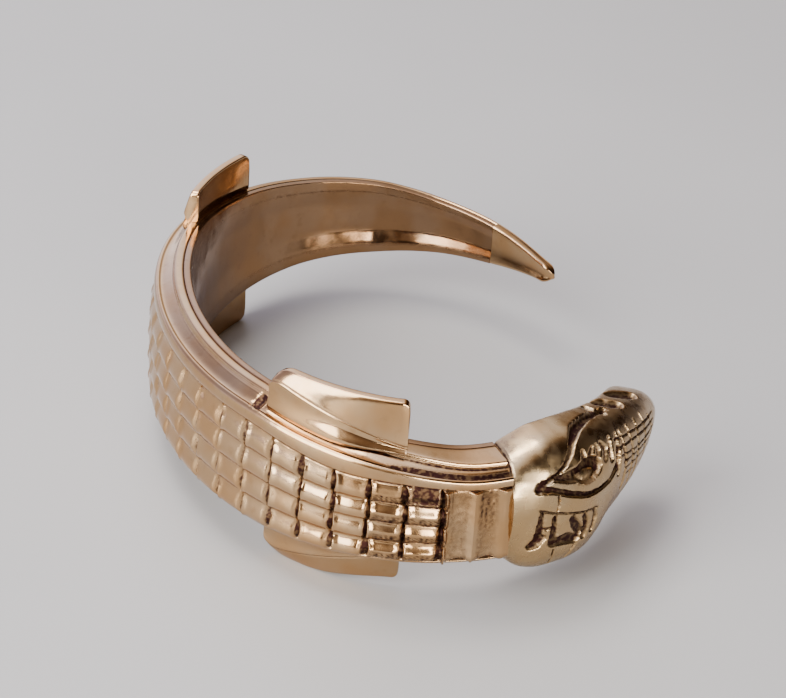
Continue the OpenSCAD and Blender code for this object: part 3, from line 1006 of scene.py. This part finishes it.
def studio_world():
    """A plain room for the metal to reflect. Its tone follows half plus the dot product of the
    direction and a line up to the left and the back: nearly black brown low down on the right and in
    front, through brown and cream to a broad cool white, and dimmer again furthest that way."""
    world = bpy.data.worlds.new("studio")
    world.use_nodes = True
    nodes, links = world.node_tree.nodes, world.node_tree.links
    where = nodes.new("ShaderNodeTexCoord")
    lean = nodes.new("ShaderNodeVectorMath")
    lean.operation = "DOT_PRODUCT"
    lean.inputs[1].default_value = ROOM_LINE
    raised = nodes.new("ShaderNodeMath")
    raised.inputs[1].default_value = 0.5
    ramp = nodes.new("ShaderNodeValToRGB")
    links.new(where.outputs["Generated"], lean.inputs[0])
    links.new(lean.outputs["Value"], raised.inputs[0])
    links.new(raised.outputs[0], ramp.inputs["Fac"])
    stops = ramp.color_ramp.elements
    stops[0].position = ROOM_TONES[0][0]
    stops[1].position = ROOM_TONES[-1][0]
    for place, _ in ROOM_TONES[1:-1]:
        stops.new(place)
    for stop, (_, colour) in zip(stops, ROOM_TONES):
        stop.color = (*colour, 1)
    links.new(ramp.outputs["Color"], nodes["Background"].inputs["Color"])
    nodes["Background"].inputs["Strength"].default_value = ROOM_STRENGTH
    bpy.context.scene.world = world


def floor_finish(colour):
    """Matt pale floor with very faint cloudy tone."""
    material = bpy.data.materials.new("pale_floor")
    material.use_nodes = True
    nodes, links = material.node_tree.nodes, material.node_tree.links
    shader = nodes["Principled BSDF"]
    where = nodes.new("ShaderNodeTexCoord")
    cloud = nodes.new("ShaderNodeTexNoise")
    cloud.inputs["Scale"].default_value = 14
    cloud.inputs["Detail"].default_value = 3
    links.new(where.outputs["Object"], cloud.inputs["Vector"])
    ramp = nodes.new("ShaderNodeValToRGB")
    ramp.color_ramp.elements[0].position = 0.35
    ramp.color_ramp.elements[1].position = 0.65
    ramp.color_ramp.elements[0].color = (*(c * 0.95 for c in colour), 1)
    ramp.color_ramp.elements[1].color = (*colour, 1)
    links.new(cloud.outputs["Fac"], ramp.inputs["Fac"])
    links.new(ramp.outputs["Color"], shader.inputs["Base Color"])
    shader.inputs["Roughness"].default_value = 0.55
    return material


# ---------------------------------------------------------------- operators


class CUFF_OT_back(bpy.types.Operator):
    """Make the hollow cast back with its scales, border ridges and rims"""

    bl_idname = "cuff.back"
    bl_label = "Back"

    def execute(self, context):
        rings = back_grid(context.scene.cuff_shape)
        make_piece(context, "scaled_back", rings, "cast", "body_shell")
        return {"FINISHED"}


class CUFF_OT_lining(bpy.types.Operator):
    """Make the sheet that lines the inside of the back"""

    bl_idname = "cuff.lining"
    bl_label = "Lining"

    def execute(self, context):
        rings = lining_grid(context.scene.cuff_shape)
        make_piece(context, "lining_sheet", rings, "lining", "inner_liner")
        return {"FINISHED"}


class CUFF_OT_tail(bpy.types.Operator):
    """Make the solid tail tip"""

    bl_idname = "cuff.tail"
    bl_label = "Tail tip"

    def execute(self, context):
        rings = tail_grid(context.scene.cuff_shape)
        make_piece(context, "tail_end", rings, "cast", "tail_tip")
        return {"FINISHED"}


class CUFF_OT_legs(bpy.types.Operator):
    """Make the four leg plates, two above and two below"""

    bl_idname = "cuff.legs"
    bl_label = "Legs"

    def execute(self, context):
        for name, span, front in (("front_leg", FRONT_LEG, True), ("hind_leg", HIND_LEG, False)):
            for side in ("upper", "lower"):
                rings = leg_grid(context.scene.cuff_shape, span, side == "upper", front)
                make_piece(context, f"{name}_plate_{side}", rings, "leg", f"{name}_{side}")
        return {"FINISHED"}


class CUFF_OT_head(bpy.types.Operator):
    """Make the carved head"""

    bl_idname = "cuff.head"
    bl_label = "Head"

    def execute(self, context):
        rings = head_grid(context.scene.cuff_shape)
        make_piece(context, "carved_head", rings, "head", "head")
        return {"FINISHED"}


class CUFF_OT_stage(bpy.types.Operator):
    """Lay the pale floor, hang the soft lights and set up the camera"""

    bl_idname = "cuff.stage"
    bl_label = "Stage"

    def execute(self, context):
        mesh = bpy.data.meshes.new("floor")
        far = FLOOR_REACH
        corners = [(-far, -far, 0), (far, -far, 0), (far, far, 0), (-far, far, 0)]
        mesh.from_pydata(corners, [], [(0, 1, 2, 3)])
        floor = bpy.data.objects.new("floor", mesh)
        context.scene.collection.objects.link(floor)
        mesh.materials.append(floor_finish(tuple(context.scene.cuff_finish.floor)))
        studio_world()
        for light in LIGHTS:
            soft_light(*light)
        data = bpy.data.cameras.new("camera")
        data.sensor_width = 36
        data.lens = CAMERA_LENS
        data.clip_start = 0.01
        camera = bpy.data.objects.new("camera", data)
        camera.matrix_world = camera_frame()
        context.scene.collection.objects.link(camera)
        context.scene.camera = camera
        return {"FINISHED"}


PIECE_OPERATORS = (CUFF_OT_back, CUFF_OT_lining, CUFF_OT_tail, CUFF_OT_legs, CUFF_OT_head, CUFF_OT_stage)


class CUFF_PT_panel(bpy.types.Panel):
    """Sizes, finishes and the button for each piece of the cuff"""

    bl_idname = "CUFF_PT_panel"
    bl_label = "Alligator cuff"
    bl_space_type = "VIEW_3D"
    bl_region_type = "UI"
    bl_category = "Cuff"

    def draw(self, context):
        for group in (context.scene.cuff_shape, context.scene.cuff_finish):
            box = self.layout.box()
            for name in group.__annotations__:
                box.prop(group, name)
        for operator in PIECE_OPERATORS:
            self.layout.operator(operator.bl_idname)


CLASSES = (CuffShape, CuffFinish, *PIECE_OPERATORS, CUFF_PT_panel)


def register():
    """Registers the classes and hangs the two groups of settings on the scene."""
    for item in CLASSES:
        bpy.utils.register_class(item)
    bpy.types.Scene.cuff_shape = bpy.props.PointerProperty(type=CuffShape)
    bpy.types.Scene.cuff_finish = bpy.props.PointerProperty(type=CuffFinish)


def unregister():
    """Takes away what register added."""
    del bpy.types.Scene.cuff_finish
    del bpy.types.Scene.cuff_shape
    for item in reversed(CLASSES):
        bpy.utils.unregister_class(item)


def main():
    register()
    bpy.ops.cuff.back()
    bpy.ops.cuff.lining()
    bpy.ops.cuff.tail()
    bpy.ops.cuff.legs()
    bpy.ops.cuff.head()
    bpy.ops.cuff.stage()


if __name__ == "__main__":
    main()
